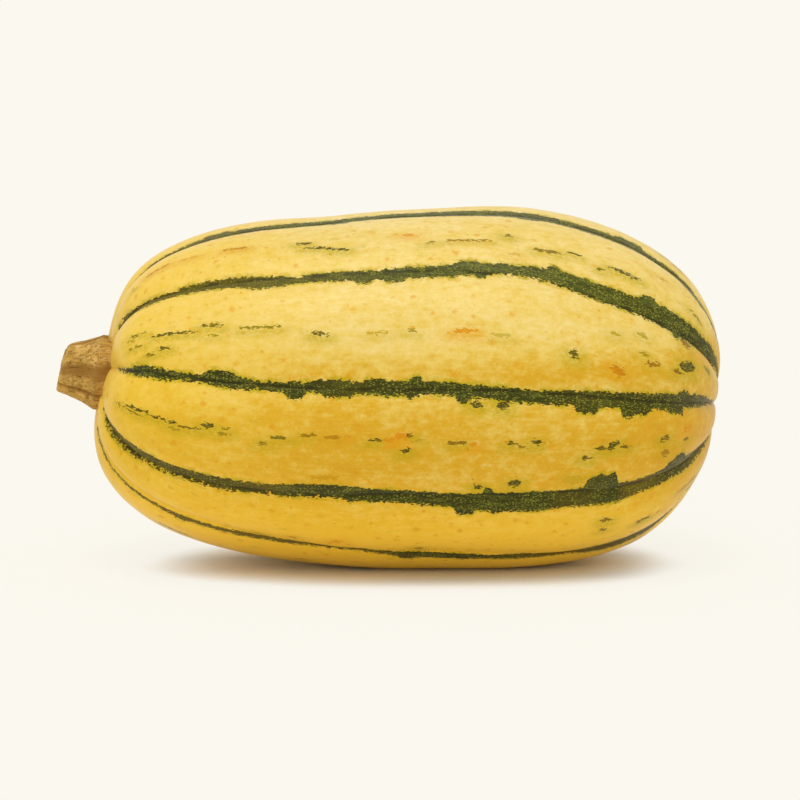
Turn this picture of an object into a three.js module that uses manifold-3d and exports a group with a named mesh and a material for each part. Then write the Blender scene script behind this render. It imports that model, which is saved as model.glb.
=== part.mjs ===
// A delicata squash lying on its side: a long ribbed fruit with ten furrows, and its woody stem stub.
// Units are millimetres. The fruit's length runs along X, with the stem end towards -X, and +Z is up.
// The origin is under the middle of the whole squash, on the surface that it rests on.
import * as THREE from "three";
import { mergeVertices } from "three/addons/utils/BufferGeometryUtils.js";
import Module from "manifold-3d";

const wasm = await Module();
wasm.setup();

// ---- Driving dimensions ------------------------------------------------------------------------

const crestRadius = 46.2; // from the fruit's middle line to the crest of a rib, where it is fattest
const stemReach = 92.4; // from the fattest place to the stem end
const blossomReach = 65.8; // from the fattest place to the blossom end

// Each end is a quarter of a superellipse: `along` squares off its length, `across` its height.
const stemEnd = { reach: stemReach, along: 2.52, across: 3.45 };
const blossomEnd = { reach: blossomReach, along: 2.86, across: 2.16 };

// The middle line is straight for most of its length, and bends near both ends.
const stemRise = { height: 6.1, span: 64.5 }; // the stem end turns up
const blossomDrop = { height: 3.8, span: 64 }; // the blossom end turns down

// Furrows, in degrees round the fruit from the horizontal on the -Y side, upwards, near the stem, at
// the middle and near the blossom end. No two ribs are quite the same width, or quite straight.
const furrowAngles = {
  stem: [9, 48, 82, 119, 156, 190, 225, 262, 308, 328],
  middle: [8, 48.5, 84, 121, 156, 190, 224, 260, 303.5, 333],
  blossom: [5.5, 37, 76, 116, 156, 192, 225, 257, 293.5, 332.5],
};
const furrowRun = { stem: -80, middle: -10, blossom: 58 }; // where along the fruit those three are
const furrow = { depth: 1.1, atEnds: 0.9, sharpness: 1.5 }; // the ends' furrows are deeper by atEnds
const shoulderRadius = { stem: 22, blossom: 16 }; // furrows fade out nearer than this to the middle line

// Gentle swellings, and one flatter place. The middle of each is `along` the fruit from its fattest place
// and `round` it in degrees, and it fades out over `reach` along the fruit and `spread` degrees round it.
const swellings = [
  { along: -33, round: 99, reach: 18, spread: 35, height: -0.9 },
  { along: 11, round: 99, reach: 12, spread: 35, height: 0.6 },
  { along: 59, round: 70, reach: 11, spread: 45, height: 0.9 },
  { along: 54, round: 300, reach: 14, spread: 40, height: 1.3 },
  { along: -74, round: 290, reach: 15, spread: 40, height: 0.9 },
];

const stemHollow = { depth: 2, radius: 18 }; // the shallow hollow that the stem grows from
const blossomDimple = { depth: 1.9, radius: 9 };
const restingCut = 0.75; // how much of the lowest rib is pressed flat where the fruit has lain

const stem = {
  rootRadius: 9.4, // at the fruit
  waistRadius: 8.3, // what the root would be without its flare
  tipRadius: 6, // at the cut
  length: 9.6, // from the stem end of the middle line to the middle of the cut
  height: 4.1, // of its root above the straight part of the middle line
  lean: 8.5, // degrees that it points upwards
  cutLean: 11, // degrees that the cut faces upwards
  ridges: 5,
  ridgeHeight: 0.7,
  firstRidge: 49, // degrees, counted as the furrows are
  rimWear: 2, // how far the upper edge of the cut is worn back
  buried: 5, // how far the stem starts inside the fruit, before it is trimmed
};
const jointGap = 0.3; // between the fruit and the stem

const facets = { perRib: 8, rings: 44, stemRound: 40, stemRings: 12 };

// ---- Shared shapes -----------------------------------------------------------------------------

const { degToRad: radians, lerp, smoothstep } = THREE.MathUtils;
const ribCount = furrowAngles.stem.length;

/** A closed geometry as a manifold-3d solid. */
function solidFrom(geometry) {
  const bare = geometry.clone();
  for (const name of Object.keys(bare.attributes)) {
    if (name !== "position") bare.deleteAttribute(name);
  }
  const merged = mergeVertices(bare, 1e-3);
  const mesh = new wasm.Mesh({
    numProp: 3,
    vertProperties: merged.attributes.position.array,
    triVerts: new Uint32Array(merged.index.array),
  });
  return new wasm.Manifold(mesh);
}

/** A manifold-3d solid as a geometry for a mesh. */
function geometryFrom(solid) {
  const { vertProperties, triVerts } = solid.getMesh();
  const geometry = new THREE.BufferGeometry();
  geometry.setAttribute("position", new THREE.BufferAttribute(vertProperties, 3));
  geometry.setIndex(new THREE.BufferAttribute(triVerts, 1));
  geometry.computeVertexNormals();
  return geometry;
}

/** Moves every vertex of a geometry to the place that `place` gives for it. */
function reshape(geometry, place) {
  const position = geometry.getAttribute("position");
  const point = new THREE.Vector3();
  for (let i = 0; i < position.count; i++) {
    point.fromBufferAttribute(position, i);
    const moved = place(point);
    position.setXYZ(i, moved.x, moved.y, moved.z);
  }
  return geometry;
}

// ---- The fruit ---------------------------------------------------------------------------------

/** Height of the middle line and its slope, at a distance along the fruit from its fattest place. */
function middleLine(x) {
  const towardsStem = Math.max(0, -x - stemReach + stemRise.span) / stemRise.span;
  const towardsBlossom = Math.max(0, x - blossomReach + blossomDrop.span) / blossomDrop.span;
  const height = stemRise.height * towardsStem ** 2 - blossomDrop.height * towardsBlossom ** 2;
  const slope =
    (-2 * stemRise.height * towardsStem) / stemRise.span -
    (2 * blossomDrop.height * towardsBlossom) / blossomDrop.span;
  return { height, slope };
}

/** Angle of a furrow, in degrees, at a distance along the fruit. The one after the last is the first. */
function furrowAngle(index, x) {
  const i = index % ribCount;
  const toMiddle = smoothstep(x, furrowRun.stem, furrowRun.middle);
  const toBlossom = smoothstep(x, furrowRun.middle, furrowRun.blossom);
  const stemHalf = lerp(furrowAngles.stem[i], furrowAngles.middle[i], toMiddle);
  const angle = lerp(stemHalf, furrowAngles.blossom[i], toBlossom);
  return index < ribCount ? angle : angle + 360;
}

/**
 * Angle round the fruit, in radians, for a share of a full turn at a distance along the fruit, and how
 * far into a furrow that is, from 0 to 1.
 */
function roundTheRibs(share, x) {
  const rib = Math.floor(share * ribCount + 1e-6);
  const within = share * ribCount - rib;
  const angle = radians(lerp(furrowAngle(rib, x), furrowAngle(rib + 1, x), within));
  const intoFurrow = (1 - Math.abs(Math.sin(Math.PI * within))) ** furrow.sharpness;
  return { angle, intoFurrow };
}

/** How far the rind swells out at a distance along the fruit and an angle round it. */
function swelling(x, angle) {
  return swellings.reduce((sum, { along, round, reach, spread, height }) => {
    const away = ((x - along) / reach) ** 2;
    const turned = (1 - Math.cos(angle - radians(round))) / (1 - Math.cos(radians(spread)));
    return sum + height * Math.exp(-away - turned);
  }, 0);
}

/**
 * A point of the rind. `polar` runs from 0 at the stem end to pi at the blossom end, `share` goes once
 * round the fruit, and `grow` lifts the surface along its normal.
 */
function rindPoint(polar, share, grow) {
  const axial = Math.cos(polar);
  const end = axial > 0 ? stemEnd : blossomEnd;
  const along = Math.abs(axial) ** (2 / end.along); // 0 at the fattest place, 1 at the end
  const across = Math.sin(polar) ** (2 / end.across); // 1 at the fattest place, 0 at the end

  // The outward normal of the plain superellipse, in the plane of its middle line.
  const slopeAlong = along ** (end.along - 1) / end.reach;
  const slopeAcross = across ** (end.across - 1) / crestRadius;
  const length = Math.hypot(slopeAlong, slopeAcross);
  const outwardAlong = slopeAlong / length;
  const outwardAcross = slopeAcross / length;

  const side = axial > 0 ? -1 : 1;
  const { angle, intoFurrow } = roundTheRibs(share, side * along * end.reach);
  const shoulder = axial > 0 ? shoulderRadius.stem : shoulderRadius.blossom;
  const fade = smoothstep(across * crestRadius, 0, shoulder);
  const depth = (furrow.depth + furrow.atEnds * outwardAlong) * intoFurrow * fade;
  const lift = grow - depth + fade * swelling(side * along * end.reach, angle);

  const hollow = axial > 0 ? stemHollow : blossomDimple;
  const sink = hollow.depth * Math.exp(-(((across * crestRadius) / hollow.radius) ** 2));
  const x = side * (along * end.reach + lift * outwardAlong - sink);
  const radius = across * crestRadius + lift * outwardAcross;

  const { height, slope } = middleLine(x);
  const tilt = Math.atan(slope);
  const up = radius * Math.sin(angle);
  return new THREE.Vector3(
    x - up * Math.sin(tilt),
    -radius * Math.cos(angle),
    height + up * Math.cos(tilt),
  );
}

/** The whole rind as a closed geometry, lifted by `grow`. */
function rindGeometry(grow) {
  const sphere = new THREE.SphereGeometry(1, facets.perRib * ribCount, facets.rings);
  return reshape(sphere, (unit) => {
    const polar = Math.acos(THREE.MathUtils.clamp(unit.y, -1, 1));
    const turn = Math.atan2(unit.z, -unit.x) / (2 * Math.PI);
    return rindPoint(polar, (1 + turn) % 1, grow);
  });
}

/** The fruit with its lowest rib cut flat. */
function fruitSolid() {
  const rind = solidFrom(rindGeometry(0));
  const lowest = rind.boundingBox().min[2];
  const slab = new THREE.BoxGeometry(4 * stemReach, 4 * crestRadius, crestRadius);
  slab.translate(0, 0, lowest + restingCut - crestRadius / 2);
  return rind.subtract(solidFrom(slab));
}

// ---- The stem ----------------------------------------------------------------------------------

/** Radius of the stem at a share of its length, from 0 at its root to 1 at its cut. */
function stemRadius(share) {
  const flare = (stem.rootRadius - stem.waistRadius) * (1 - share) ** 3;
  return lerp(stem.waistRadius, stem.tipRadius, share) + flare;
}

/** The five-ridged stem stub, from inside the fruit to its leaning cut. */
function stemGeometry() {
  const cylinder = new THREE.CylinderGeometry(1, 1, 1, facets.stemRound, facets.stemRings);
  const cutSlope = Math.tan(radians(stem.cutLean - stem.lean));
  const stub = reshape(cylinder, (unit) => {
    const out = (unit.y + 0.5) * (stem.length + stem.buried) - stem.buried;
    const share = Math.max(0, out / stem.length);
    const angle = Math.atan2(unit.z, -unit.x);
    const ridge = stem.ridgeHeight * Math.cos(stem.ridges * (angle - radians(stem.firstRidge)));
    const reach = Math.hypot(unit.x, unit.z) * (stemRadius(share) + ridge);
    const up = reach * Math.sin(angle);
    const worn = stem.rimWear * Math.max(0, up / stem.tipRadius) ** 3 * share ** 4;
    return new THREE.Vector3(cutSlope * up * share + worn - out, -reach * Math.cos(angle), up);
  });
  return stub.rotateY(radians(stem.lean)).translate(-stemReach, 0, stem.height);
}

/** The stem trimmed to stand just clear of the fruit. */
function stemSolid() {
  return solidFrom(stemGeometry()).subtract(solidFrom(rindGeometry(jointGap)));
}

// ---- The squash --------------------------------------------------------------------------------

const rindMaterial = new THREE.MeshStandardMaterial({
  name: "rind",
  color: new THREE.Color().setRGB(0.86, 0.6, 0.13),
  roughness: 0.42,
  metalness: 0,
});
const stemMaterial = new THREE.MeshStandardMaterial({
  name: "stem",
  color: new THREE.Color().setRGB(0.5, 0.3, 0.1),
  roughness: 0.85,
  metalness: 0,
});

function namedMesh(name, solid, material) {
  const mesh = new THREE.Mesh(geometryFrom(solid), material);
  mesh.name = name;
  return mesh;
}

const pieces = new THREE.Group();
pieces.add(
  namedMesh("squash_fruit", fruitSolid(), rindMaterial),
  namedMesh("stem", stemSolid(), stemMaterial),
);

// Stand the squash on its flat spot, with the origin under the middle of its outer size.
const size = new THREE.Box3().setFromObject(pieces, true);
const middle = size.getCenter(new THREE.Vector3());
pieces.position.set(-middle.x, -middle.y, -size.min.z);

const squash = new THREE.Group();
squash.add(pieces);

export default squash;
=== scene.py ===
import math
import bpy
import numpy as np
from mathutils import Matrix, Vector


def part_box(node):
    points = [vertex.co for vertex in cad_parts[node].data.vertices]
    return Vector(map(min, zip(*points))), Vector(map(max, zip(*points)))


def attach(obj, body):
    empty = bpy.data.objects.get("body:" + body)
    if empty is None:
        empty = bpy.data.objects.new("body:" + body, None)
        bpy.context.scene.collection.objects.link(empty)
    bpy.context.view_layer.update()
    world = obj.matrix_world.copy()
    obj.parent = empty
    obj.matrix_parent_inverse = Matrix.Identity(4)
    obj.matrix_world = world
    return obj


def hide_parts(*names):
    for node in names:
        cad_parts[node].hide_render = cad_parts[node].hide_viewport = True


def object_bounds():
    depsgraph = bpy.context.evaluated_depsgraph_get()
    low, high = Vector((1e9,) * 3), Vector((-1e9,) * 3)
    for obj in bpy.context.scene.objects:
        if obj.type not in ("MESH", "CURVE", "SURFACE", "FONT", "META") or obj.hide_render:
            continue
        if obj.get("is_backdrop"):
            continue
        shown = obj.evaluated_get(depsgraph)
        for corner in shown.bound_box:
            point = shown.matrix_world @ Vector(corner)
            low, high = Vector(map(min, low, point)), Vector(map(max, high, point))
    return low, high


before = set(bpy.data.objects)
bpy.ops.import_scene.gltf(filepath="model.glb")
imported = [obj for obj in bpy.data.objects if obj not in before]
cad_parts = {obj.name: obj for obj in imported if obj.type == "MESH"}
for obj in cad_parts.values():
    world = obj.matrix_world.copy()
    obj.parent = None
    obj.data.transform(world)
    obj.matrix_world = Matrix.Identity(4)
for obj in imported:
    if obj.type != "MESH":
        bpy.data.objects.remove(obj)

mm = 0.001
cadLow, cadHigh = (Vector(corner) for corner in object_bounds())
fruitLow, fruitHigh = (Vector(corner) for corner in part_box("squash_fruit"))
stemLow, stemHigh = (Vector(corner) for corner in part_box("stem"))
print("frame loaded, outer size in mm:", [round(side / mm, 1) for side in cadHigh - cadLow])


def shade(red, green, blue):
    # a colour as it shows on screen, turned into the linear colour that sockets take
    def linear(value):
        value /= 255
        return value / 12.92 if value <= 0.04045 else ((value + 0.055) / 1.055) ** 2.4
    return (linear(red), linear(green), linear(blue), 1)


# Sums written straight into node trees: a Wire is a node's output, and sums with it add Math nodes.
def plug(tree, socket, value):
    if isinstance(value, Wire):
        tree.links.new(value.socket, socket)
    else:
        socket.default_value = value


def addNode(tree, kind, inputs=None, **settings):
    node = tree.nodes.new(kind)
    for name, value in settings.items():
        setattr(node, name, value)
    for key, value in (inputs or {}).items():
        plug(tree, node.inputs[key], value)
    return node


def outputOf(tree, kind, inputs=None, output=0, **settings):
    return Wire(tree, addNode(tree, kind, inputs, **settings).outputs[output])


def calc(tree, operation, *values):
    return outputOf(tree, "ShaderNodeMath", dict(enumerate(values)), operation=operation)


class Wire:
    def __init__(self, tree, socket):
        self.tree = tree
        self.socket = socket

    def __neg__(self):
        return calc(self.tree, "MULTIPLY", self, -1)

    def __abs__(self):
        return calc(self.tree, "ABSOLUTE", self)

    def of(self, operation, *others):
        return calc(self.tree, operation, self, *others)

    def ramp(self, start, end, low=0, high=1, smooth=True):
        style = "SMOOTHSTEP" if smooth else "LINEAR"
        return outputOf(self.tree, "ShaderNodeMapRange", {0: self, 1: start, 2: end, 3: low, 4: high},
                        interpolation_type=style, clamp=True)

    def blend(self, first, second):  # from the first to the second number as this goes from 0 to 1
        return first + (second - first) * self


def operator(operation, turned=False):
    if turned:
        return lambda self, other: calc(self.tree, operation, other, self)
    return lambda self, other: calc(self.tree, operation, self, other)


operations = {"add": "ADD", "sub": "SUBTRACT", "mul": "MULTIPLY", "truediv": "DIVIDE"}
for sign, operation in operations.items():
    setattr(Wire, f"__{sign}__", operator(operation))
    setattr(Wire, f"__r{sign}__", operator(operation, turned=True))
Wire.__pow__ = operator("POWER")


def combine(tree, x, y, z):
    return outputOf(tree, "ShaderNodeCombineXYZ", {0: x, 1: y, 2: z})


def separate(tree, vector):
    node = addNode(tree, "ShaderNodeSeparateXYZ", {0: vector})
    return [Wire(tree, output) for output in node.outputs]


def stretch(tree, vector, factors):
    return outputOf(tree, "ShaderNodeVectorMath", {0: vector, 1: factors}, operation="MULTIPLY")


def noise(tree, vector, scale, detail=2, roughness=0.5, flat=False, along=1):
    if along != 1:
        vector = stretch(tree, vector, (along, 1, 1))
    inputs = {"Vector": vector, "Scale": scale, "Detail": detail, "Roughness": roughness}
    return outputOf(tree, "ShaderNodeTexNoise", inputs, "Fac", noise_dimensions="2D" if flat else "3D")


def cells(tree, vector, scale, flat=False, metric="EUCLIDEAN"):
    # how far the middle of the nearest cell is, and three random numbers for that cell
    node = addNode(tree, "ShaderNodeTexVoronoi", {"Vector": vector, "Scale": scale},
                   voronoi_dimensions="2D" if flat else "3D", distance=metric)
    picks = separate(tree, Wire(tree, node.outputs["Color"]))
    return Wire(tree, node.outputs["Distance"]), picks


def mixColour(tree, factor, first, second):
    return outputOf(tree, "ShaderNodeMix", {0: factor, 6: first, 7: second}, 2, data_type="RGBA",
                    clamp_factor=True)


# A colour that goes through the named colours of a finish, each reached at its own factor
def colourSteps(tree, factor, finish, places):
    node = addNode(tree, "ShaderNodeValToRGB", {0: factor})
    steps = node.color_ramp.elements
    while len(steps) < len(places):
        steps.new(0.5)
    for step, (name, place) in zip(steps, places.items()):
        step.position = place
        step.color = finish[name]
    return Wire(tree, node.outputs[0])


def spaced(name):  # "crestRadius" to "Crest Radius"
    return "".join(" " + letter if letter.isupper() else letter for letter in name).title()


# A Geometry Nodes tree with a named input for every value. It ends in Realize Instances and
# Set Material.
def newShapeTree(name, values):
    tree = bpy.data.node_groups.new(name, "GeometryNodeTree")
    tree.interface.new_socket("Geometry", in_out="OUTPUT", socket_type="NodeSocketGeometry")
    kinds = {int: "NodeSocketInt", float: "NodeSocketFloat", Vector: "NodeSocketVector"}
    for key, value in values.items():
        kind = kinds.get(type(value), "NodeSocketMaterial")
        tree.interface.new_socket(spaced(key), in_out="INPUT", socket_type=kind)
    source = tree.nodes.new("NodeGroupInput")
    return tree, {key: Wire(tree, source.outputs[spaced(key)]) for key in values}


def endShapeTree(tree, geometry, material):
    real = addNode(tree, "GeometryNodeRealizeInstances", {"Geometry": geometry})
    painted = addNode(tree, "GeometryNodeSetMaterial",
                      {"Geometry": Wire(tree, real.outputs[0]), "Material": material})
    sink = tree.nodes.new("NodeGroupOutput")
    tree.links.new(painted.outputs[0], sink.inputs["Geometry"])


def storeAttribute(tree, geometry, name, value, kind="FLOAT_VECTOR", domain="POINT"):
    node = addNode(tree, "GeometryNodeStoreNamedAttribute", {"Geometry": geometry, "Name": name},
                   data_type=kind, domain=domain)
    socket = next(socket for socket in node.inputs if socket.name == "Value" and socket.enabled)
    plug(tree, socket, value)
    return Wire(tree, node.outputs[0])


def setPosition(tree, geometry, position=None, offset=None):
    inputs = {"Geometry": geometry}
    if position is not None:
        inputs["Position"] = position
    if offset is not None:
        inputs["Offset"] = offset
    return outputOf(tree, "GeometryNodeSetPosition", inputs)


def pointPlace(tree):
    return outputOf(tree, "GeometryNodeInputPosition")


def pushOut(tree, geometry, height):
    inputs = {0: outputOf(tree, "GeometryNodeInputNormal"), "Scale": height}
    offset = outputOf(tree, "ShaderNodeVectorMath", inputs, operation="SCALE")
    return setPosition(tree, geometry, offset=offset)


# 0 at an angle, and 1 where the surface has turned away from it by the given width in degrees
def turnedFrom(angle, degrees, wide):
    return (1 - (angle - math.radians(degrees)).of("COSINE")) / (1 - math.cos(math.radians(wide)))


def growMesh(name, tree, values):
    seedMesh = bpy.data.meshes.new(name + "Seed")
    piece = bpy.data.objects.new(name, seedMesh)
    bpy.context.scene.collection.objects.link(piece)
    modifier = piece.modifiers.new("shape", "NODES")
    modifier.node_group = tree
    sockets = {item.name: item.identifier for item in tree.interface.items_tree}
    for key, value in values.items():
        modifier[sockets[spaced(key)]] = list(value) if isinstance(value, Vector) else value
    shaped = piece.evaluated_get(bpy.context.evaluated_depsgraph_get())
    mesh = bpy.data.meshes.new_from_object(shaped)
    piece.modifiers.remove(modifier)
    piece.data = mesh
    mesh.name = name
    mesh.shade_smooth()
    bpy.data.meshes.remove(seedMesh)
    return piece


# How far round and along a unit sphere a point is. Its upper pole becomes the stem end of a shape.
def sphereShares(tree):
    x, y, z = separate(tree, pointPlace(tree))
    turn = (y.of("ARCTAN2", x) / (2 * math.pi) + 1).of("FLOORED_MODULO", 1)
    polar = (x * x + y * y).of("SQRT").of("ARCTAN2", z) / math.pi
    return turn, polar


fruitSize = {
    "roundSegments": 400,
    "lengthwiseRings": 240,
    "crestRadius": 46.2 * mm,
    "stemReach": 92.4 * mm,  # from the fattest place to the stem end
    "blossomReach": 65.8 * mm,
    "stemEndAlong": 2.52,  # how square the ends are
    "stemEndAcross": 3.45,
    "blossomEndAlong": 2.86,
    "blossomEndAcross": 2.16,
    "stemRise": 6.1 * mm,
    "stemRiseSpan": 64.5 * mm,
    "blossomDrop": 3.8 * mm,
    "blossomDropSpan": 64 * mm,
    "furrowDepth": 1.1 * mm,
    "furrowDepthAtEnds": 0.9 * mm,
    "furrowSharpness": 1.5,
    "creaseDepth": 0.22 * mm,
    "creaseWidth": 0.55 * mm,
    "creaseLength": 9 * mm,
    "waverLength": 17 * mm,  # over which a furrow's depth changes
    "stemShoulder": 24 * mm,  # furrows fade out nearer than this to the stem
    "blossomShoulder": 23 * mm,
    "hollowDepth": 2.7 * mm,
    "hollowRadius": 22 * mm,
    "hollowTurn": math.radians(20),  # the hollow is deepest towards this side and the one opposite
    "dimpleDepth": 1.9 * mm,
    "dimpleRadius": 9 * mm,
    "scarRadius": 3.1 * mm,
    "scarRim": 0.35 * mm,
    "scarRimWidth": 0.55 * mm,
    "scarPitRadius": 1.5 * mm,
    "scarPitDepth": 0.3 * mm,
    "ribVariation": 0.35 * mm,
    "lumpHeight": 0.9 * mm,
    "rippleHeight": 0.28 * mm,
    "restingCut": 0.75 * mm,
    "restingRound": 0.25 * mm,
    "seed": 7,
}
# Fuller and flatter places: (place along, degrees round, how long, how wide in degrees, height), in mm
bulges = [(-33, 99, 18, 35, -0.9), (11, 99, 12, 35, 0.6), (59, 70, 11, 45, 0.9), (54, 300, 14, 40, 1.3),
          (-74, 290, 15, 40, 0.9)]
# Furrows, in degrees round the fruit, near the stem, at the middle and near the blossom end
furrowAngles = {
    "stem": [9, 48, 82, 119, 156, 190, 225, 262, 308, 328],
    "middle": [8, 48.5, 84, 121, 156, 190, 224, 260, 303.5, 333],
    "blossom": [5.5, 37, 76, 116, 156, 192, 225, 257, 293.5, 332.5],
}
furrowRun = {"stem": -80 * mm, "middle": -10 * mm, "blossom": 58 * mm}
ribCount = len(furrowAngles["stem"])


def listSwitch(tree, index, values):
    node = addNode(tree, "GeometryNodeIndexSwitch", data_type="FLOAT")
    while len(node.index_switch_items) < len(values):
        node.index_switch_items.new()
    plug(tree, node.inputs[0], index)
    for place, value in enumerate(values):
        node.inputs[place + 1].default_value = value
    return Wire(tree, node.outputs[0])


def furrowAngle(tree, index, x):
    stem, middle, blossom = (listSwitch(tree, index, furrowAngles[key] + [furrowAngles[key][0] + 360])
                             for key in ("stem", "middle", "blossom"))
    angle = x.ramp(furrowRun["stem"], furrowRun["middle"]).blend(stem, middle)
    return x.ramp(furrowRun["middle"], furrowRun["blossom"]).blend(angle, blossom) * math.radians(1)


def buildFruitTree(values):
    tree, given = newShapeTree("squashFruitShape", values)
    sphere = addNode(tree, "GeometryNodeMeshUVSphere",
                     {"Segments": given["roundSegments"], "Rings": given["lengthwiseRings"]})
    turn, polarShare = sphereShares(tree)

    # rings are closer together near both ends, and segments near the furrows
    ringShare = polarShare + (polarShare * (2 * math.pi)).of("SINE") * 0.035
    polar = ringShare * math.pi

    def furrowward(rib):
        whole = rib.of("FLOOR")
        return rib - ((rib - whole) * (2 * math.pi)).of("SINE") * (0.5 / (2 * math.pi))

    rib = furrowward(turn * ribCount)
    ribIndex = (rib + 1e-6).of("FLOOR").of("MINIMUM", ribCount - 1)
    within = rib - ribIndex

    # the plain rind is a superellipse: along ** a + across ** b = 1
    onStemSide = (polar.of("COSINE")).of("GREATER_THAN", 0)
    side = onStemSide.blend(1, -1)
    reach = onStemSide.blend(given["blossomReach"], given["stemReach"])
    powerAlong = onStemSide.blend(given["blossomEndAlong"], given["stemEndAlong"])
    powerAcross = onStemSide.blend(given["blossomEndAcross"], given["stemEndAcross"])
    cosine = abs(polar.of("COSINE"))
    sine = polar.of("SINE").of("MAXIMUM", 0)
    power = (powerAlong + powerAcross) * 0.5
    grown = (cosine ** power + sine ** power) ** (-1 / power)
    for _ in range(2):
        alongPart = (grown * cosine) ** powerAlong
        acrossPart = (grown * sine) ** powerAcross
        excess = (alongPart + acrossPart - 1) / (powerAlong * alongPart + powerAcross * acrossPart)
        grown = grown - grown * excess
    along = grown * cosine
    across = grown * sine
    crest = given["crestRadius"]
    plainRadius = across * crest
    plainX = side * along * reach

    slopeAlong = along ** (powerAlong - 1) / reach
    slopeAcross = across ** (powerAcross - 1) / crest
    length = (slopeAlong * slopeAlong + slopeAcross * slopeAcross).of("SQRT")
    outAlong = slopeAlong / length
    outAcross = slopeAcross / length

    lowerAngle = furrowAngle(tree, ribIndex, plainX)
    upperAngle = furrowAngle(tree, ribIndex + 1, plainX)
    angle = within.blend(lowerAngle, upperAngle)

    # furrows between full ribs, with a fine crease at the bottom
    fade = plainRadius.ramp(0, onStemSide.blend(given["blossomShoulder"], given["stemShoulder"]))
    belly = abs((within * math.pi).of("SINE"))
    intoFurrow = (1 - belly) ** given["furrowSharpness"]
    nearest = (rib + 0.5).of("FLOOR")
    waver = noise(tree, combine(tree, plainX / given["waverLength"], nearest * 3.7, 0.5), 1, 2)
    depth = (given["furrowDepth"] + given["furrowDepthAtEnds"] * outAlong) * waver.blend(0.75, 1.25)
    fromFurrow = abs(rib - nearest) * (upperAngle - lowerAngle) * plainRadius
    creasePlace = combine(tree, plainX / given["creaseLength"], nearest * 5.3, 4.5)
    creaseNoise = noise(tree, creasePlace, 1, 2).ramp(0.42, 0.6)
    crease = (-((fromFurrow / given["creaseWidth"]) ** 2)).of("EXPONENT")
    crease = crease * given["creaseDepth"] * creaseNoise
    fullness = addNode(tree, "FunctionNodeRandomValue",
                       {"ID": ribIndex, "Seed": given["seed"]}, data_type="FLOAT")
    fullness = (Wire(tree, fullness.outputs[1]) - 0.6) * given["ribVariation"] * belly
    lift = fade * (fullness - depth * intoFurrow - crease)
    for middle, degrees, long, wide, height in bulges:
        fromMiddle = (plainX - middle * mm) / (long * mm)
        away = fromMiddle * fromMiddle + turnedFrom(angle, degrees, wide)
        lift = lift + fade * (-away).of("EXPONENT") * (height * mm)

    # the hollow round the stem, and the dimple and corky scar at the blossom end
    hollowDepth = onStemSide.blend(given["dimpleDepth"], given["hollowDepth"])
    hollowRadius = onStemSide.blend(given["dimpleRadius"], given["hollowRadius"])
    hollowFall = onStemSide.blend(2, 2.5)
    turned = (angle - given["hollowTurn"]).of("COSINE")
    hollowDepth = hollowDepth * onStemSide.blend(1, 0.35 + turned * turned * 0.65)
    sink = hollowDepth * (-((plainRadius / hollowRadius) ** hollowFall)).of("EXPONENT")
    fromRim = (plainRadius - given["scarRadius"]) / given["scarRimWidth"]
    scar = (-(fromRim * fromRim)).of("EXPONENT") * given["scarRim"]
    pit = (-((plainRadius / given["scarPitRadius"]) ** 2)).of("EXPONENT")
    scar = scar - pit * given["scarPitDepth"]
    sink = sink - scar * (1 - onStemSide)

    x = side * (along * reach + lift * outAlong - sink)
    radius = plainRadius + lift * outAcross
    towardsStem = (given["stemRiseSpan"] - given["stemReach"] - x).of("MAXIMUM", 0)
    towardsStem = towardsStem / given["stemRiseSpan"]
    towardsBlossom = (x - given["blossomReach"] + given["blossomDropSpan"]).of("MAXIMUM", 0)
    towardsBlossom = towardsBlossom / given["blossomDropSpan"]
    rise = given["stemRise"]
    drop = given["blossomDrop"]
    height = rise * towardsStem * towardsStem - drop * towardsBlossom * towardsBlossom
    slope = rise * towardsStem * (-2 / given["stemRiseSpan"])
    slope = slope - drop * towardsBlossom * (2 / given["blossomDropSpan"])
    tilt = slope.of("ARCTANGENT")
    up = radius * angle.of("SINE")
    place = combine(tree, x - up * tilt.of("SINE"), -(radius * angle.of("COSINE")),
                    height + up * tilt.of("COSINE"))

    # what the paint needs to know, in mm
    geometry = Wire(tree, sphere.outputs["Mesh"])
    geometry = storeAttribute(tree, geometry, "profile",
                              combine(tree, plainX / mm, plainRadius / mm, polarShare))
    geometry = storeAttribute(tree, geometry, "round", combine(
        tree, rib, (upperAngle - lowerAngle) * radius / mm, 0))
    u, v, _ = separate(tree, Wire(tree, sphere.outputs["UV Map"]))
    geometry = storeAttribute(tree, geometry, "OFBake",
                              combine(tree, furrowward(u * ribCount) / ribCount, v, 0),
                              "FLOAT2", "CORNER")
    geometry = setPosition(tree, geometry, position=place)

    # soft lumps and ripples along the normal
    spot = pointPlace(tree)
    lumps = (noise(tree, spot, 42, 1, along=0.75) - 0.5) * given["lumpHeight"]
    ripples = (noise(tree, spot, 140, 2, along=0.6) - 0.5) * given["rippleHeight"]
    geometry = pushOut(tree, geometry, (lumps + ripples) * fade)

    # into the solid's box, and pressed flat where it rests
    box = addNode(tree, "GeometryNodeBoundBox", {"Geometry": geometry})
    low = separate(tree, Wire(tree, box.outputs["Min"]))
    high = separate(tree, Wire(tree, box.outputs["Max"]))
    boxLow = separate(tree, given["lowCorner"])
    boxHigh = separate(tree, given["highCorner"])
    boxLow[2] = boxLow[2] - given["restingCut"]
    spots = separate(tree, spot)
    fitted = [boxLow[i] + (spots[i] - low[i]) * (boxHigh[i] - boxLow[i]) / (high[i] - low[i])
              for i in range(3)]
    fitted[2] = fitted[2].of("SMOOTH_MAX", 0, given["restingRound"])
    geometry = setPosition(tree, geometry, position=combine(tree, *fitted))
    endShapeTree(tree, geometry, given["material"])
    return tree


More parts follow.
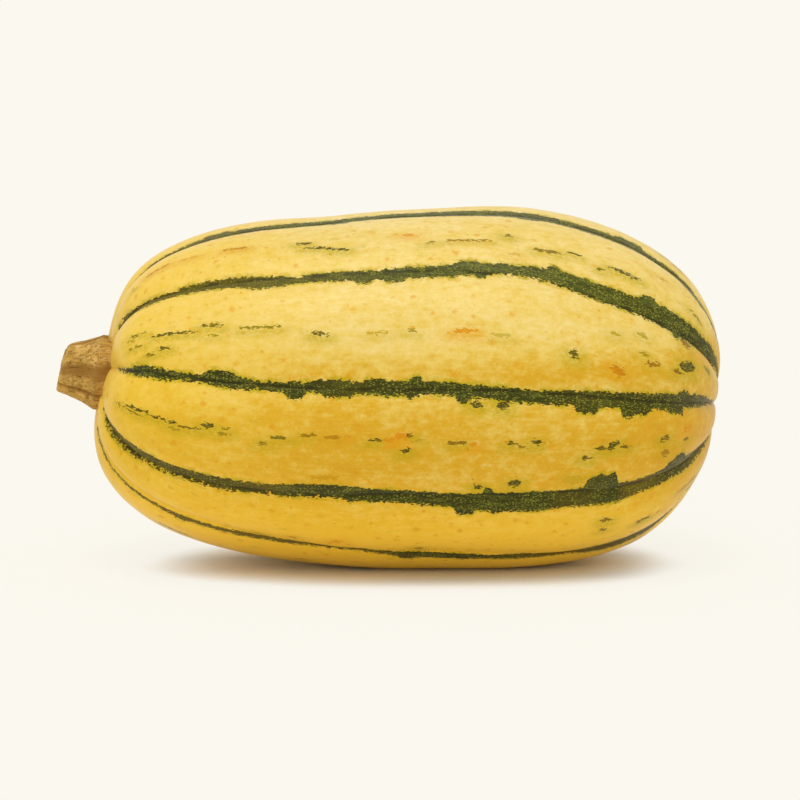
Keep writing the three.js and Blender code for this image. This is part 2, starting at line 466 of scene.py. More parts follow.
# Markings, in mm from the stem end along the rind. Across, a stripe's edges are measured from its
# furrow and a dash's height from the middle of its rib, upwards on the side that faces -Y.
# stripe: (place, lower edge, upper edge, how brown); step: (from, to, edge)
stripeEdges = {
    0: [(19, -0.3, 0.1, 0.6), (25, -0.8, 0.1, 0.4), (28, -1.1, 0.5, 0.2), (31, -1.2, 1.2, 0),
        (36, -1.2, 1.5, 0), (40, -1.5, 1.2, 0), (46, -0.9, 0.9, 0), (50, -0.8, 1.0, 0),
        (60, -1.9, 1.6, 0), (66, -1.3, 0.6, 0.1), (72, -1.5, 1.0, 0), (79, -1.2, 1.2, 0),
        (91, -1.3, 1.5, 0.2), (99, -1.6, 1.9, 0), (110, -1.6, 1.8, 0), (120, -2.1, 1.1, 0),
        (130, -3.1, 0.6, 0), (136, -3.2, 0.3, 0), (145, -3.0, 1.0, 0.1), (155, -2.6, 1.2, 0.1),
        (162, -2.5, 1.6, 0.1), (170, -2.2, 1.9, 0.1), (180, -1.2, 2.2, 0.2), (186, -0.8, 1.9, 0.3),
        (191, -0.5, 1.1, 0.4), (198, -0.3, 0.3, 0.6)],
    1: [(15, 0.2, 0.8, 0.7), (20, -1.6, 0.9, 0.6), (26, -2.2, 0.5, 0.6), (32, -2.6, 0.1, 0.6),
        (40, -2.4, 0.2, 0.5), (46, -2.2, 0.9, 0.4), (57, -2.5, 1.1, 0.4), (65, -3.5, 0.7, 0.4),
        (71, -3.5, 0.4, 0.3), (75, -2.9, -0.4, 0.3), (79, -2.6, 0.7, 0.2), (90, -2.7, 0.7, 0.1),
        (97, -3.0, 0.5, 0), (104, -2.8, 1.1, 0), (112, -2.4, 1.3, 0), (119, -1.4, 2.4, 0),
        (125, -0.2, 2.8, 0), (134, 0.5, 3.6, 0), (139, 0.4, 4.3, 0), (145, -0.5, 4.0, 0),
        (152, -1.0, 3.7, 0), (160, -0.9, 3.3, 0), (167, -1.0, 4.3, 0), (176, -1.3, 3.6, 0),
        (181, -1.2, 2.9, 0.1), (187, -0.6, 2.7, 0.2), (194, 0.2, 1.8, 0.4), (203, 0.3, 0.7, 0.6)],
    2: [(14, -0.6, 0.2, 0.7), (25, -1.6, 0.9, 0.5), (36, -2.2, 1.3, 0.5), (48, -3.2, 1.6, 0.4),
        (58, -3.6, 1.8, 0.2), (70, -2.6, 2.0, 0.1), (82, -2.9, 1.8, 0), (95, -2.7, 2.2, 0),
        (112, -3.0, 2.4, 0), (125, -3.2, 2.4, 0), (140, -2.9, 2.2, 0.1), (150, -3.4, 1.8, 0.2),
        (163, -3.3, 1.6, 0.1), (172, -5.0, 1.4, 0.2), (178, -7.5, 1.2, 0.2), (186, -7.5, 0.9, 0.2),
        (192, -6.0, 0.6, 0.3), (198, -4.4, 0.3, 0.4), (203, -1.5, 0, 0.6)],
    8: [(16, -2.5, -2.1, 0.9), (28, -3.0, -2.3, 0.9), (44, -3.1, -2.0, 0.9), (50, -3.9, -2.1, 0.8),
        (58, -3.3, -1.7, 0.8), (66, -2.8, -0.8, 0.7), (74, -2.4, -0.4, 0.7), (80, -1.4, 0.3, 0.8),
        (88, -1.2, 0.1, 0.9), (95, -1.9, -0.5, 0.6), (101, -3.2, -0.9, 0.1), (108, -4.0, -0.8, 0),
        (118, -4.3, -1.4, 0), (126, -4.2, -1.7, 0), (134, -3.2, -0.6, 0.2), (141, -2.0, -0.1, 0.7),
        (148, -1.8, 0.8, 0.8), (156, -3.0, 2.2, 0.4), (162, -3.2, 3.2, 0.4), (168, -3.0, 4.4, 0.5),
        (176, -2.6, 5.0, 0.5), (185, -2.0, 4.6, 0.5), (193, -1.0, 2.6, 0.6), (201, -0.4, 0.6, 0.8)],
    9: [(14, -0.1, 0.5, 0.7), (20, -0.6, 1.6, 0.5), (26, -0.9, 2.2, 0.4), (35, -1.0, 2.5, 0.4),
        (42, -0.6, 2.5, 0.3), (52, -0.7, 2.6, 0.3), (60, -1.1, 2.5, 0.3), (70, -0.8, 2.3, 0.5),
        (75, -1.2, 3.0, 0.1), (82, -0.8, 3.3, 0), (89, -1.4, 2.8, 0), (95, -2.4, 1.7, 0),
        (104, -3.1, 0.9, 0), (113, -3.9, 0.1, 0), (122, -5.4, 0.0, 0), (131, -5.7, 0.2, 0),
        (138, -5.6, 0.5, 0), (144, -4.8, 0.6, 0.3), (150, -5.0, 0.9, 0.2), (158, -5.1, 1.2, 0),
        (162, -3.9, 0.9, 0.7), (168, -2.9, 1.5, 0.5), (174, -2.4, 2.5, 0.2), (181, -2.5, 2.7, 0.3),
        (187, -1.7, 2.0, 0.6), (194, -1.2, 0.4, 0.8), (202, -0.5, 0.0, 0.8)],
}
stripeSteps = {
    0: [(52, 60, 2.3), (73, 78, -3.2), (80.5, 90, 2.0), (82, 90, -2.2), (93, 98, 2.3), (98, 99.5, -2.4),
        (103, 105.5, -2.4), (104.5, 107, 2.9), (115.5, 119, -3.8), (145, 151, -4.7), (157, 160.5, -4.9),
        (160, 165, -4.0), (171.5, 177, -3.2), (174.5, 178, 3.0)],
    1: [(62, 68, -4.0), (91, 95.5, -4.0), (98.5, 103, -4.2), (114, 116, -2.8), (117, 122, 3.0),
        (121, 123.5, -2.3), (138, 141, 5.1), (161, 165.5, 5.2), (171, 173.5, -2.6)],
    2: [(48, 55, 2.6), (84, 90, -4.2), (132, 137, -4.1), (156, 163, 3.0)],
    8: [(49, 51.5, -4.5), (102.5, 106.5, -5.0), (117, 120, -4.9)],
    9: [(89, 91, -2.3), (115.5, 120.5, -6.5), (122.5, 125, 1.9), (124.5, 127, -6.0), (129, 131, -5.8),
        (149.2, 151.5, 3.6), (150.2, 157.8, 4.2), (152.3, 153.8, 4.9), (155.6, 157.2, 4.8),
        (172.6, 175.5, 3.9), (174.6, 179, 4.7)],
}
# dash: (from, to, height there, height there, thickness, 0 green to 1 orange, strength)
dashes = {
    0: [(28, 34, -1.5, -1.1, 0.45, 0.2, 0.8), (36, 49, -2.4, -2.0, 0.5, 0.1, 0.9),
        (28, 34, -4.6, -4.3, 0.4, 0.3, 0.7), (38.5, 42, -5.8, -5.6, 0.8, 0.2, 0.9),
        (34, 38, -7.0, -6.7, 0.5, 0.3, 0.8), (27, 30, -2.7, -2.5, 0.35, 0.4, 0.6),
        (50, 56, -0.4, -0.3, 0.9, 0.1, 0.8), (52, 55, -3.2, -3.0, 0.4, 0.2, 0.6),
        (60, 72, -1.3, -1.0, 0.7, 0.15, 0.7), (79.5, 84, -2.8, -3.3, 0.8, 0.2, 0.9),
        (94, 99, -3.0, -2.9, 0.5, 0.4, 0.5), (103.5, 106, -2.2, -2.6, 0.6, 0.1, 0.6),
        (115, 121, -2.5, -2.2, 1.0, 1.0, 0.8), (124, 129, -2.9, -2.8, 0.7, 0.2, 0.4),
        (143, 145.5, -4.5, -4.9, 1.9, 0.15, 0.9), (153.5, 157.5, -5.7, -6.5, 2.1, 0.75, 0.9),
        (153.5, 155.5, 3.0, 3.0, 1.3, 0.3, 0.5), (160, 163, 4.8, 4.3, 1.2, 0.3, 0.5),
        (163, 167, -2.5, -2.1, 1.1, 0.5, 0.9), (161, 163.5, -0.3, -0.3, 0.8, 0.3, 0.6),
        (171, 174, -2.4, -2.1, 1.1, 0.4, 0.9), (173.5, 179, -0.4, 0.4, 2.5, 0.0, 1.0),
        (174, 177.5, 6.9, 5.9, 2.2, 0.4, 0.9), (183, 187, 2.0, 1.0, 1.0, 0.2, 0.7)],
    1: [(31, 39, -0.9, -0.4, 0.8, 0.7, 0.8), (25, 28, -2.0, -2.4, 0.4, 0.4, 0.6),
        (41, 48, -1.0, -1.2, 0.8, 0.8, 0.5), (54, 61, -1.0, -1.6, 0.9, 0.7, 0.8),
        (74, 79, -2.3, -2.5, 0.8, 0.15, 0.9), (77, 85, -4.5, -5.2, 0.55, 0.15, 1.0),
        (84.5, 89.5, -5.9, -6.4, 0.9, 0.1, 1.0), (103.5, 106, -1.8, -1.8, 1.1, 0.9, 0.8),
        (109, 111.5, -5.5, -5.0, 0.9, 0.3, 0.7), (114, 125, -4.6, -3.8, 0.6, 0.4, 0.8),
        (128.4, 129.8, -0.8, -1.3, 1.2, 0.05, 1.0), (135, 141, -5.1, -4.8, 1.0, 0.3, 0.8),
        (142, 146, -3.4, -3.3, 0.5, 0.2, 0.9), (150, 151.4, -6.2, -6.2, 0.9, 0.1, 0.8),
        (153, 161, -4.0, -4.3, 1.0, 0.05, 1.0), (129, 132, -8.2, -7.7, 1.0, 0.6, 0.4),
        (166, 168.5, 0.8, 0.8, 1.2, 0.6, 0.5), (176, 181, -3.2, -4.2, 0.8, 0.3, 0.7)],
    8: [(154.5, 157.3, 2.4, 2.0, 1.6, 0.3, 0.9), (154.5, 156.5, -1.5, -1.5, 1.0, 0.3, 0.8),
        (165, 169.5, -2.1, -1.5, 1.0, 0.2, 0.9), (171.5, 172.6, -1.5, -1.5, 0.9, 0.5, 0.7),
        (178, 187, 1.8, 0.4, 0.9, 0.4, 0.7), (182, 186, -1.6, -2.0, 0.6, 0.3, 0.6),
        (76, 77.5, -7.0, -7.0, 1.2, 0.5, 0.7), (106, 108, -9.6, -9.6, 1.5, 0.4, 0.7),
        (85, 88, -6.8, -6.6, 1.6, 0.9, 0.5), (66, 70, -8.6, -8.4, 1.4, 0.4, 0.5)],
    9: [(31, 39, 1.0, 1.4, 0.5, 0.2, 1.0), (27, 37, 0.2, -0.2, 0.4, 0.4, 0.8),
        (38, 47, 1.0, 0.8, 0.55, 0.2, 1.0), (47, 53, 0.4, 0.6, 0.5, 0.3, 0.9),
        (53, 56, 2.0, 2.2, 1.2, 0.1, 1.0), (58, 60.5, 1.8, 1.8, 0.6, 0.2, 0.8),
        (57, 60, 0.4, 0.5, 0.5, 0.4, 0.7), (44.5, 47.5, -0.7, -0.6, 0.5, 0.3, 0.6),
        (67, 69.5, -0.8, -0.8, 0.8, 0.3, 0.7), (70, 74.5, 0.9, 1.2, 0.6, 0.2, 0.8),
        (77, 81, 2.0, 2.1, 0.7, 0.4, 0.8), (83, 87, 1.6, 1.7, 0.9, 0.6, 0.8),
        (88, 90, 1.8, 1.8, 0.5, 0.8, 0.7), (94, 97, 0.8, 0.9, 0.8, 0.2, 0.9),
        (97.5, 100.5, 0.8, 1.0, 0.9, 1.0, 0.8), (100.5, 103.3, 1.7, 1.7, 1.8, 1.0, 0.9),
        (103.4, 104.8, 2.0, 2.0, 1.1, 0.3, 0.9), (102, 104, -2.1, -1.7, 1.1, 0.1, 1.0),
        (104.5, 108, 0.4, 0.8, 0.5, 0.4, 0.5), (113.5, 118.5, -0.1, 0.0, 0.9, 0.4, 0.9),
        (118.6, 121, -0.4, -0.4, 0.9, 1.0, 0.8), (128, 130.6, 0.0, 0.0, 0.8, 0.1, 0.9),
        (130.8, 133.5, -0.7, -0.9, 0.5, 0.4, 0.8), (134.5, 136.6, 0.8, 0.7, 1.2, 0.1, 1.0),
        (136.6, 138, 0.4, 0.3, 0.7, 1.0, 0.7), (151, 154.2, -1.0, -1.0, 1.0, 0.2, 0.9),
        (154, 157, -0.7, 0.3, 1.6, 0.1, 1.0), (157.5, 160, -0.6, -0.6, 0.8, 0.3, 0.9),
        (147.5, 149.5, -3.4, -3.6, 1.1, 0.2, 0.9), (169, 172, 0.5, 0.6, 1.2, 0.3, 0.9),
        (170, 172.3, -3.2, -3.2, 1.8, 0.5, 0.8), (177.5, 179.5, -0.8, -0.8, 0.9, 0.3, 0.8),
        (177, 180, 2.2, 2.0, 1.3, 0.9, 0.7), (119, 122, 10.2, 9.7, 1.5, 0.0, 1.0),
        (125.6, 128.5, 10.0, 9.6, 1.9, 0.0, 1.05), (120, 122.3, -11.7, -11.7, 1.2, 0.0, 1.0),
        (129, 132, -10.7, -10.4, 1.6, 0.0, 1.05), (143, 149, -9.4, -9.4, 2.4, 0.25, 0.3),
        (80, 87, -9.2, -9.0, 1.3, 0.6, 0.5)],
}
markings = {"seed": 31, "length": 211, "hiddenDashes": 20}


# Stripes and dashes for the furrows and ribs that have no list of their own
def inventMarkings():
    random = np.random.default_rng(markings["seed"])
    for furrow in range(ribCount):
        if furrow in stripeEdges:
            continue
        places = np.arange(22, 192, 9)
        middle = np.interp(places, [20, 60, 105, 150, 190], random.uniform(-1.1, 1.1, 5))
        half = np.interp(places, [20, 45, 85, 125, 160, 190], random.uniform(0.9, 2.6, 6))
        half = half + random.uniform(-0.3, 0.3, len(places))
        brown = np.clip(random.uniform(-0.5, 0.5, len(places)), 0, 1)
        edges = [(s, m - h, m + h, b) for s, m, h, b in zip(places, middle, half, brown)]
        stripeEdges[furrow] = [(15, -0.3, 0.2, 0.7), *edges, (203, -0.3, 0.2, 0.7)]
        steps = []
        for start in np.sort(random.uniform(35, 180, 9)):
            end = start + random.uniform(2.5, 7)
            reach = np.interp(start, places, half) + random.uniform(0.6, 2.0)
            offset = np.interp(start, places, middle)
            steps.append((start, end, offset + reach * random.choice([-1, 1])))
        stripeSteps[furrow] = steps
    for rib in range(ribCount):
        if rib in dashes:
            continue
        line = random.uniform(-2, 2)
        marks = []
        for start in random.uniform(25, 178, markings["hiddenDashes"]):
            blossomward = np.clip((start - 110) / 60, 0, 1)
            long = random.uniform(2, 9) * (1 - 0.55 * blossomward)
            thick = random.uniform(0.4, 0.9) + blossomward * random.uniform(0, 1.3)
            height = line + random.normal(0, 1.6) + random.choice([0, 0, 0, 4, -4])
            hue = random.choice([0.1, 0.2, 0.35, 0.5, 1.0])
            marks.append((start, start + long, height, height + random.uniform(-0.4, 0.4), thick, hue,
                          random.uniform(0.6, 1)))
        dashes[rib] = marks


# Shares the dashes of a rib out to three lanes, so that no lane's dashes overlap along the rib.
# One that finds no room starts later.
def shareOutLanes(marks):
    lanes = [[], [], []]
    for start, end, *rest in sorted(marks):
        lane = min(lanes, key=lambda taken: taken[-1][1] if taken else 0)
        if lane:
            start = max(start, lane[-1][1] + 1)
        if end - start > 0.8:
            lane.append((start, end, *rest))
    return lanes


# Each point of the rind learns its stripe's edges, and the nearest dash of each lane.
def paintFruit(piece):
    mesh = piece.data
    count = len(mesh.vertices)

    def readVectors(name):
        values = np.empty(count * 3, dtype=np.float32)
        mesh.attributes[name].data.foreach_get("vector", values)
        return values.reshape(count, 3).astype(float)

    def writeVectors(name, *columns):
        attribute = mesh.attributes.new(name, "FLOAT_VECTOR", "POINT")
        values = np.column_stack(columns).astype(np.float32)
        attribute.data.foreach_set("vector", values.ravel())

    plainX, plainRadius, ringShare = readVectors("profile").T
    rib, ribWidth, _ = readVectors("round").T
    _, first, ring = np.unique(np.round(ringShare, 6), return_index=True, return_inverse=True)
    steps = np.hypot(np.diff(plainX[first]), np.diff(plainRadius[first]))
    lengthwise = np.concatenate([[0], np.cumsum(steps)])[ring]
    inventMarkings()

    low = np.zeros(count)
    high = np.zeros(count)
    brown = np.zeros(count)
    nearest = np.floor(rib + 0.5).astype(int) % ribCount
    for furrow, edges in stripeEdges.items():
        chosen = nearest == furrow
        s = lengthwise[chosen]
        places, lows, highs, browns = np.array(edges).T
        lowEdge = np.interp(s, places, lows)
        highEdge = np.interp(s, places, highs)
        for start, end, edge in stripeSteps[furrow]:
            share = np.clip((np.minimum(s - start, end - s) + 0.3) / 0.7, 0, 1)
            if edge > 0:
                highEdge = highEdge + (np.maximum(highEdge, edge) - highEdge) * share
            else:
                lowEdge = lowEdge + (np.minimum(lowEdge, edge) - lowEdge) * share
        gone = (s < places[0]) | (s > places[-1])
        low[chosen] = np.where(gone, 1.5, lowEdge)
        high[chosen] = np.where(gone, -1.5, highEdge)
        brown[chosen] = np.interp(s, places, browns)

    heights = np.zeros((count, 3))
    halves = np.full((count, 3), -9.0)
    hues = np.zeros((count, 3))
    strengths = np.zeros((count, 3))
    stain = np.zeros(count)
    stainHue = np.zeros(count)
    ribIndex = np.minimum(np.floor(rib + 1e-5), ribCount - 1).astype(int)
    ribSide = (rib - ribIndex - 0.5) * ribWidth
    for ribNumber, marks in dashes.items():
        chosen = np.flatnonzero(ribIndex == ribNumber)
        s = lengthwise[chosen]
        for lane, laneMarks in enumerate(shareOutLanes(marks)):
            knots = [(place, height) for start, end, startHeight, endHeight, *_ in laneMarks
                     for place, height in ((start, startHeight), (end, endHeight))]
            heights[chosen, lane] = np.interp(s, *zip(*knots)) if knots else 0
            nearest = np.full(len(chosen), 9.0)
            for start, end, startHeight, endHeight, thick, markHue, markStrength in laneMarks:
                beyond = np.maximum(np.maximum(start - s, s - end), 0)
                taper = 1 - np.abs(2 * (s - start) / (end - start) - 1) ** 3
                markHalf = thick / 2 * np.sqrt(np.maximum(taper, 0.04)) - beyond * 0.9
                closer = beyond < nearest
                nearest = np.where(closer, beyond, nearest)
                rows = chosen[closer]
                halves[rows, lane] = markHalf[closer]
                hues[rows, lane] = markHue
                strengths[rows, lane] = markStrength
                line = np.interp(s, [start, end], [startHeight, endHeight])
                aside = np.maximum(np.abs(ribSide[chosen] - line) - thick / 2, 0)
                spread = markStrength * np.exp(-(beyond / 2.4) ** 2 - (aside / (0.6 + thick / 2)) ** 2)
                stainHue[chosen] = np.where(spread > stain[chosen], markHue, stainHue[chosen])
                stain[chosen] = np.maximum(stain[chosen], spread)

    writeVectors("place", lengthwise, ribWidth, np.zeros(count))
    writeVectors("stripe", low, high, brown)
    writeVectors("dashHeight", *heights.T)
    writeVectors("dashHalf", *halves.T)
    writeVectors("dashHue", *hues.T)
    writeVectors("dashStrength", *strengths.T)
    writeVectors("stain", stain, stainHue, np.zeros(count))
    for name in ("profile", "round"):
        mesh.attributes.remove(mesh.attributes[name])
    print("fruit painted, length along the rind in mm:", round(float(lengthwise.max()), 1))


def newMaterial(name):
    material = bpy.data.materials.new(name)
    material.use_nodes = True
    tree = material.node_tree
    tree.nodes.clear()
    shader = tree.nodes.new("ShaderNodeBsdfPrincipled")
    output = tree.nodes.new("ShaderNodeOutputMaterial")
    tree.links.new(shader.outputs[0], output.inputs["Surface"])
    return material, tree, shader


def readAttribute(tree, name):
    return separate(tree, outputOf(tree, "ShaderNodeAttribute", output="Vector", attribute_name=name))


def readUv(tree):
    return separate(tree, outputOf(tree, "ShaderNodeUVMap", uv_map="OFBake"))


def objectPlace(tree):
    return outputOf(tree, "ShaderNodeTexCoord", output="Object")


def bumpNormal(tree, shader, height, distance):
    node = addNode(tree, "ShaderNodeBump", {"Height": height, "Distance": distance})
    tree.links.new(node.outputs[0], shader.inputs["Normal"])


# Small marks scattered over a surface, all in mm, each of a random size and strength
def buildSpots():
    group = bpy.data.node_groups.new("scatteredSpots", "ShaderNodeTree")
    for label in ("Spacing", "Size", "Share"):
        group.interface.new_socket(label, in_out="INPUT", socket_type="NodeSocketFloat")
    group.interface.new_socket("Place", in_out="INPUT", socket_type="NodeSocketVector")
    group.interface.new_socket("Mask", in_out="OUTPUT", socket_type="NodeSocketFloat")
    source = group.nodes.new("NodeGroupInput")
    sink = group.nodes.new("NodeGroupOutput")
    spacing, size, share, place = (Wire(group, source.outputs[label])
                                   for label in ("Spacing", "Size", "Share", "Place"))
    warp = noise(group, place, 1.6, 2, flat=True)
    distance, (pick, width, tint) = cells(group, place, 1 / spacing, flat=True)
    radius = size / spacing * width.blend(0.35, 1)
    edge = distance + (warp - 0.5) * radius * 1.6
    soft = (edge / radius).ramp(1.3, 0.1)
    mask = soft * pick.of("LESS_THAN", share) * tint.blend(0.4, 1)
    plug(group, sink.inputs["Mask"], mask)
    return group


def scatter(tree, group, place, spacing, size, share):
    node = addNode(tree, "ShaderNodeGroup", node_tree=group)
    for label, value in (("Place", place), ("Spacing", spacing), ("Size", size), ("Share", share)):
        plug(tree, node.inputs[label], value)
    return Wire(tree, node.outputs["Mask"])


rindFinish = {
    "deep": shade(218, 158, 26),  # the ground, from its deepest to its palest
    "gold": shade(224, 175, 42),
    "cream": shade(236, 202, 96),
    "pale": shade(244, 216, 134),
    "stemEndGoldAndLight": shade(246, 202, 56),
    "belly": shade(255, 208, 52),
    "halo": shade(190, 166, 12),
    "collar": shade(230, 190, 84),
    "stripe": shade(52, 54, 8),
    "stripeGreyAndSheen": shade(92, 96, 30),
    "stripeBrown": shade(126, 100, 8),
    "crease": shade(36, 32, 4),
    "fleck": shade(160, 156, 54),
    "dashGreen": shade(54, 56, 6),
    "dashOrange": shade(222, 143, 5),
    "freckle": shade(226, 158, 10),
    "pore": shade(200, 158, 28),
    "cork": shade(168, 124, 70),
    "paleness": 0.36,  # of the ground, before its patterns
    "roughness": 0.36,
    "specular": 0.22,
    "bumpDepth": 0.09 * mm,
    "grainLength": 0.55,  # of a stripe's grains, in mm
    "grainHeight": 0.32,
    "dashGrainLength": 0.9,
    "dashGrainHeight": 0.3,
    "raggedness": 1.45,
    "specularTint": (1, 0.92, 0.55, 1),
}


def buildRind(finish, spots):
    material, tree, shader = newMaterial("squashRind")
    u, _, _ = readUv(tree)
    s, width, _ = readAttribute(tree, "place")
    low, high, brown = readAttribute(tree, "stripe")
    stain, stainHue, _ = readAttribute(tree, "stain")
    place = objectPlace(tree)

    rib = u * ribCount
    nearest = (rib + 0.5).of("FLOOR")
    furrowSide = (rib - nearest) * width
    ribSide = (rib - rib.of("FLOOR") - 0.5) * width
    onFurrow = combine(tree, s + nearest * 331, furrowSide, 0)
    onRib = combine(tree, s + rib.of("FLOOR") * 331, ribSide, 0)

    # ground colour: gold below and near the stem, paler above, mottled and softly brushed lengthwise;
    # its changes with height and along the fruit are partly painted light and shade, as said where each
    # is made
    _, _, above = separate(tree, place)
    cloud = noise(tree, place, 55, 2, 0.5, along=0.6)
    patch = noise(tree, place, 170, 3, 0.6, along=0.5)
    mottle = noise(tree, place, 500, 3, 0.65, along=0.7)
    speckle = noise(tree, place, 1500, 2, 0.6)
    brush = noise(tree, stretch(tree, onRib, (0.1, 1.3, 1)), 1, 3, 0.6, flat=True)
    # painted shade: a darker band high on the front, where the top rib rounds down into its furrow
    paintedShadeBand = above.ramp(51 * mm, 55 * mm) * above.ramp(64 * mm, 57 * mm) * s.ramp(60, 125, 0.4, 1)
    # paler towards the top: partly the rind's own paler colour, partly painted highlight from the light
    # above
    paleness = finish["paleness"] + above.ramp(38 * mm, 66 * mm) * 0.44 - paintedShadeBand * 0.24
    # painted light: paler low down, as if lit by the floor; painted shade: deeper towards the blossom
    # end, away from the light
    paleness = paleness + above.ramp(30 * mm, 14 * mm) * s.ramp(60, 130) * 0.12 - s.ramp(145, 185) * 0.12
    patterns = ((cloud, 0.4), (patch, 0.45), (mottle, 0.95), (speckle, 0.3), (brush, -0.3))
    for pattern, strength in patterns:
        paleness = paleness + (pattern - 0.5) * strength
    ground = colourSteps(tree, paleness, finish, {"deep": 0, "gold": 0.33, "cream": 0.66, "pale": 1})
    # brighter, more saturated gold towards the stem end: partly the rind's own colour, partly painted
    # light from that side
    ground = mixColour(tree, s.ramp(95, 25) * (0.35 + patch * 0.5), ground, finish["stemEndGoldAndLight"])
    # painted light: the underside turns a bright gold, standing in for light bounced up from the floor
    ground = mixColour(tree, above.ramp(32 * mm, 6 * mm) * 0.9, ground, finish["belly"])
    ground = mixColour(tree, s.ramp(28, 16) * 0.5, ground, finish["collar"])

    # freckles, olive smudges and pores
    crowd = noise(tree, place, 38, 1).ramp(0.35, 0.65, 0.35, 1)
    pores = scatter(tree, spots, onRib, 1.9, 0.42, crowd * 0.5)
    ground = mixColour(tree, pores * 0.3, ground, finish["pore"])
    smudges = scatter(tree, spots, stretch(tree, onRib, (0.6, 1, 1)), 4.6, 1.1, crowd * 0.5)
    ground = mixColour(tree, smudges * 0.3, ground, finish["halo"])
    freckles = scatter(tree, spots, stretch(tree, onRib, (0.85, 1, 1)), 4.2, 0.95, crowd * 0.75)
    ground = mixColour(tree, freckles * 0.75, ground, finish["freckle"])

    # stripes of fine grains, which thin out towards ragged edges, most of all along the lower one
    grains = stretch(tree, onFurrow, (1 / finish["grainLength"], 1 / finish["grainHeight"], 1))
    _, (pick, _, shift) = cells(tree, grains, 1, flat=True, metric="CHEBYCHEV")
    fray = noise(tree, onFurrow, 1.2, 4, 0.65, flat=True, along=0.6)
    toHigh = high - furrowSide
    toLow = furrowSide - low
    plain = toHigh.of("MINIMUM", toLow)
    inside = plain + (fray - 0.5) * finish["raggedness"] * (high - low).ramp(0.3, 2.5, 0.3, 1)
    thinning = toLow.of("LESS_THAN", toHigh).blend(0.28, 0.6)
    grainShare = (inside / thinning).ramp(-0.8, 1, smooth=False)
    stripe = (grainShare - pick * 0.94).ramp(0, 0.06)
    haloNoise = noise(tree, onFurrow, 0.45, 2, flat=True, along=0.5).ramp(0.34, 0.58)
    halo = (inside + (fray - 0.5)).ramp(-1.2, -0.1) * haloNoise
    ground = mixColour(tree, halo * (0.9 - brown * 0.5), ground, finish["halo"])

    greysAndSheen = noise(tree, stretch(tree, onFurrow, (0.12, 0.9, 1)), 1, 2, flat=True).ramp(0.4, 0.7)
    # greyer in random streaks and grains, which is the stripes' own tone, and greyer towards the top,
    # which is a painted sheen
    greysAndSheen = greysAndSheen * 0.5 + above.ramp(50 * mm, 76 * mm) * 0.4 + (shift - 0.5) * 0.9
    green = mixColour(tree, greysAndSheen, finish["stripe"], finish["stripeGreyAndSheen"])
    green = mixColour(tree, brown * 0.8, green, finish["stripeBrown"])
    # painted shade: a dark broken line along the bottom of each furrow
    creaseShade = abs(furrowSide + 0.1).ramp(0.6, 0.1)
    creaseNoise = noise(tree, stretch(tree, onFurrow, (0.1, 0, 1)), 1, 2, flat=True)
    creaseShade = creaseShade * creaseNoise.ramp(0.4, 0.55)
    green = mixColour(tree, creaseShade * 0.7, green, finish["crease"])
    fleckPlace = stretch(tree, onFurrow, (1.2, 2.8, 1))
    fleckDistance, (fleckPick, fleckSize, _) = cells(tree, fleckPlace, 1, flat=True)
    fleckNoise = noise(tree, onFurrow, 0.4, 2, flat=True, along=0.6)
    fleckCrowd = fleckNoise.ramp(0.35, 0.62, 0.15, 0.8) * (1 - creaseShade * 0.8) * (1 - brown)
    fleckCrowd = fleckCrowd * plain.ramp(0.1, 0.5)
    anyFleck = (fleckDistance / fleckSize.blend(0.22, 0.5)).ramp(1, 0.4)
    fleck = anyFleck * fleckPick.of("LESS_THAN", fleckCrowd)
    green = mixColour(tree, fleck * 0.75, green, finish["fleck"])
    colour = mixColour(tree, stripe, ground, green)

    # broken dashes along the middle of the ribs, each in a faint stain of its own
    names = ("dashHeight", "dashHalf", "dashHue", "dashStrength")
    lanes = zip(*(readAttribute(tree, name) for name in names))
    deepest, hue, strength, wide = -9.0, 0.0, 0.0, 0.0
    for height, half, laneHue, laneStrength in lanes:
        depth = half - abs(ribSide - height)
        wins = depth.of("GREATER_THAN", deepest)
        hue = wins.blend(hue, laneHue)
        strength = wins.blend(strength, laneStrength)
        wide = wins.blend(wide, half)
        deepest = depth.of("MAXIMUM", deepest)
    dashGrains = stretch(tree, onRib, (1 / finish["dashGrainLength"], 1 / finish["dashGrainHeight"], 1))
    _, (dashPick, dashJump, _) = cells(tree, dashGrains, 1, flat=True, metric="CHEBYCHEV")
    dashFray = noise(tree, onRib, 1.9, 3, 0.7, flat=True, along=0.45)
    dashInside = deepest + (dashFray - 0.5) * wide.ramp(0.3, 1, 1.8, 3.6)
    dashShare = dashInside.ramp(-0.4, 0.35, smooth=False)
    dash = (dashShare - dashPick * 0.9).ramp(0, 0.1) * strength.ramp(0, 0.7)
    stain = (stain * dashFray.ramp(0.3, 0.62, 0.3, 1)).of("MINIMUM", 1)
    stainColour = mixColour(tree, stainHue.ramp(0.2, 0.9), finish["halo"], finish["freckle"])
    dashColour = mixColour(tree, hue.ramp(0.2, 0.9, smooth=False) + (dashJump - 0.5) * 0.2,
                           finish["dashGreen"], finish["dashOrange"])
    flecked = anyFleck * hue.ramp(0.35, 0.2) * deepest.ramp(0, 0.4)
    dashColour = mixColour(tree, flecked * 0.6, dashColour, finish["fleck"])
    dashColour = mixColour(tree, strength.ramp(1.05, 0.4) * 0.8, dashColour, stainColour)
    colour = mixColour(tree, stain * 0.8 * (1 - stripe), colour, stainColour)
    colour = mixColour(tree, dash * 0.95 * (1 - stripe), colour, dashColour)

    # corky scar at the blossom end, with a soft tan area round it
    fromBlossom = markings["length"] - s
    cork = (fromBlossom + (fray - 0.5) * 1.5).ramp(4.2, 3.0)
    tanned = (fromBlossom + (patch - 0.5) * 14).ramp(13, 4) * 0.35
    colour = mixColour(tree, tanned, colour, finish["cork"])
    colour = mixColour(tree, cork, colour, finish["cork"])
    plug(tree, shader.inputs["Base Color"], colour)

